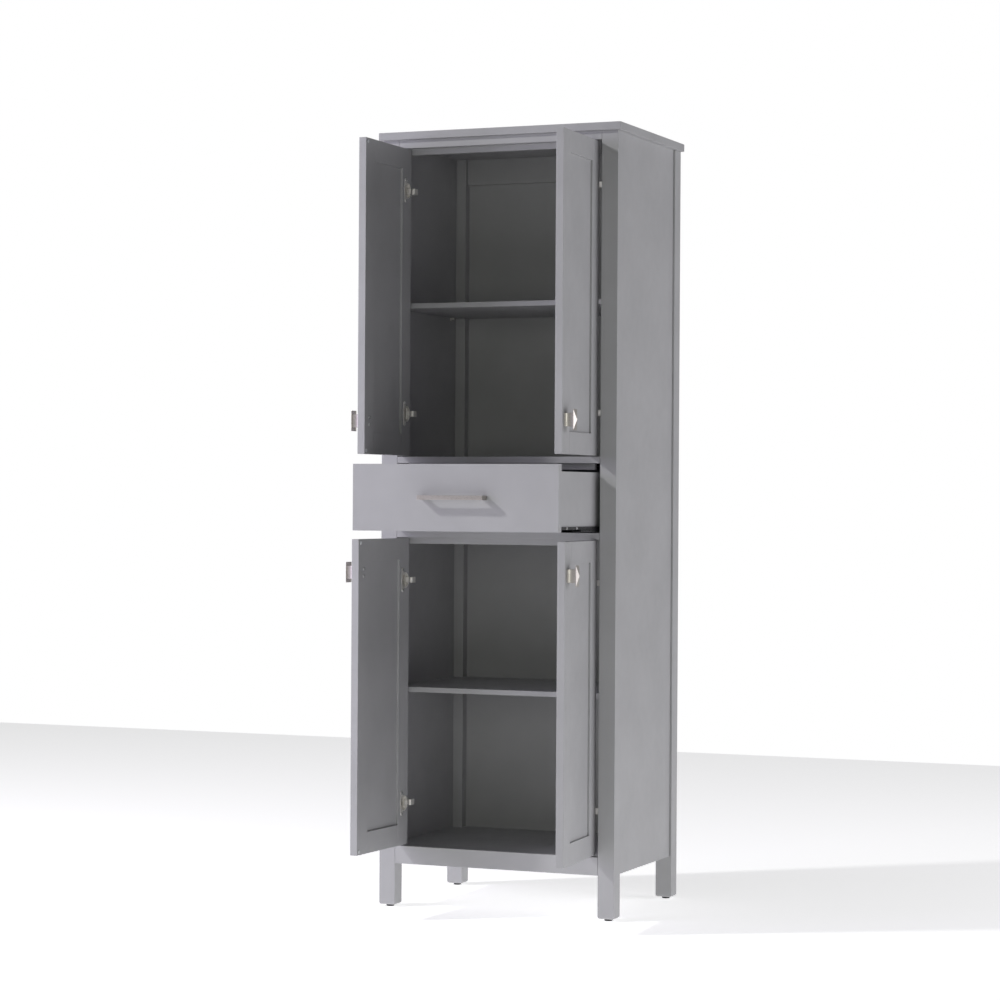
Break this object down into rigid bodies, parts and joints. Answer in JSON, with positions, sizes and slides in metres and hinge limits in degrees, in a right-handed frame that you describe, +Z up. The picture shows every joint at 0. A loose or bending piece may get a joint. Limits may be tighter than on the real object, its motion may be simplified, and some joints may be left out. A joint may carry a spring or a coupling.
{
  "type": "pantry cabinet",
  "caption": "Tall pantry cabinet on square corner posts, with inset framed doors on cup hinges above and below a drawer on runners, and removable shelves inside.",
  "frame": {"origin": "on the floor, on the cabinet's middle line, midway between the back of the cabinet and the face of the drawer pull as the drawer stands drawn out", "axes": "+X to the right across the front, +Y from the front to the back, +Z up"},
  "size_m": [0.61, 0.711, 1.829],
  "materials": {
    "paint": "satin light grey paint on wood",
    "nickel": "satin nickel",
    "hinge_steel": "bright nickel plate",
    "screw_steel": "zinc plate",
    "pin_steel": "nickel plate",
    "runner_black": "semi-gloss black",
    "glide_plastic": "matte black"
  },
  "bodies": {
    "cabinet": {"top_panel": "paint", "front_left_post": "paint", "front_right_post": "paint", "back_left_post": "paint", "back_right_post": "paint", "left_side_panel": "paint", "right_side_panel": "paint", "back_panel": "paint", "back_top_rail": "paint", "back_bottom_rail": "paint", "top_rail": "paint", "upper_divider_rail": "paint", "lower_divider_rail": "paint", "bottom_rail": "paint", "upper_divider": "paint", "lower_divider": "paint", "floor_panel": "paint", "top_stop": "paint", "divider_stops": "paint", "upper_shelf": "paint", "lower_shelf": "paint", "shelf_pins": "pin_steel", "foot_glides": "glide_plastic", "hinge_arms": "hinge_steel", "hinge_plates": "hinge_steel", "hinge_plate_screws": "screw_steel", "runner_cabinet_members": "runner_black", "runner_screws": "screw_steel"},
    "upper_left_door": {"upper_left_door_frame": "paint", "upper_left_door_panel": "paint", "upper_left_knob": "nickel", "upper_left_hinge_cups": "hinge_steel", "upper_left_screws": "screw_steel"},
    "upper_right_door": {"upper_right_door_frame": "paint", "upper_right_door_panel": "paint", "upper_right_knob": "nickel", "upper_right_hinge_cups": "hinge_steel", "upper_right_screws": "screw_steel"},
    "lower_left_door": {"lower_left_door_frame": "paint", "lower_left_door_panel": "paint", "lower_left_knob": "nickel", "lower_left_hinge_cups": "hinge_steel", "lower_left_screws": "screw_steel"},
    "lower_right_door": {"lower_right_door_frame": "paint", "lower_right_door_panel": "paint", "lower_right_knob": "nickel", "lower_right_hinge_cups": "hinge_steel", "lower_right_screws": "screw_steel"},
    "drawer": {"drawer_front": "paint", "drawer_sides": "paint", "drawer_box_front": "paint", "drawer_back": "paint", "drawer_bottom": "paint", "drawer_pull": "nickel", "pull_screws": "screw_steel", "runner_drawer_members": "runner_black", "runner_catches": "screw_steel"},
    "runner_middles": {"runner_middle_members": "runner_black"}
  },
  "joints": [
    {"name": "upper_left_hinge", "type": "hinge", "parent": "cabinet", "child": "upper_left_door", "pos_m": [-0.2446, -0.0786, 0], "axis": [0, 0, -1], "range_deg": [-89.5, 15.5]},
    {"name": "upper_right_hinge", "type": "hinge", "parent": "cabinet", "child": "upper_right_door", "pos_m": [0.2446, -0.0786, 0], "axis": [0, 0, 1], "range_deg": [-92.5, 12.5]},
    {"name": "lower_left_hinge", "type": "hinge", "parent": "cabinet", "child": "lower_left_door", "pos_m": [-0.2446, -0.0786, 0], "axis": [0, 0, -1], "range_deg": [-92.5, 12.5]},
    {"name": "lower_right_hinge", "type": "hinge", "parent": "cabinet", "child": "lower_right_door", "pos_m": [0.2446, -0.0786, 0], "axis": [0, 0, 1], "range_deg": [-94.5, 10.5]},
    {"name": "drawer_slide", "type": "slide", "parent": "cabinet", "child": "drawer", "axis": [0, -1, 0], "range_m": [-0.247, 0.103]},
    {"name": "runner_slide", "type": "slide", "parent": "cabinet", "child": "runner_middles", "axis": [0, -1, 0], "range_m": [-0.1235, 0.0515]}
  ],
  "couplings": [
    {"joint": "runner_slide", "follows": "drawer_slide", "ratio": 0.5}
  ]
}
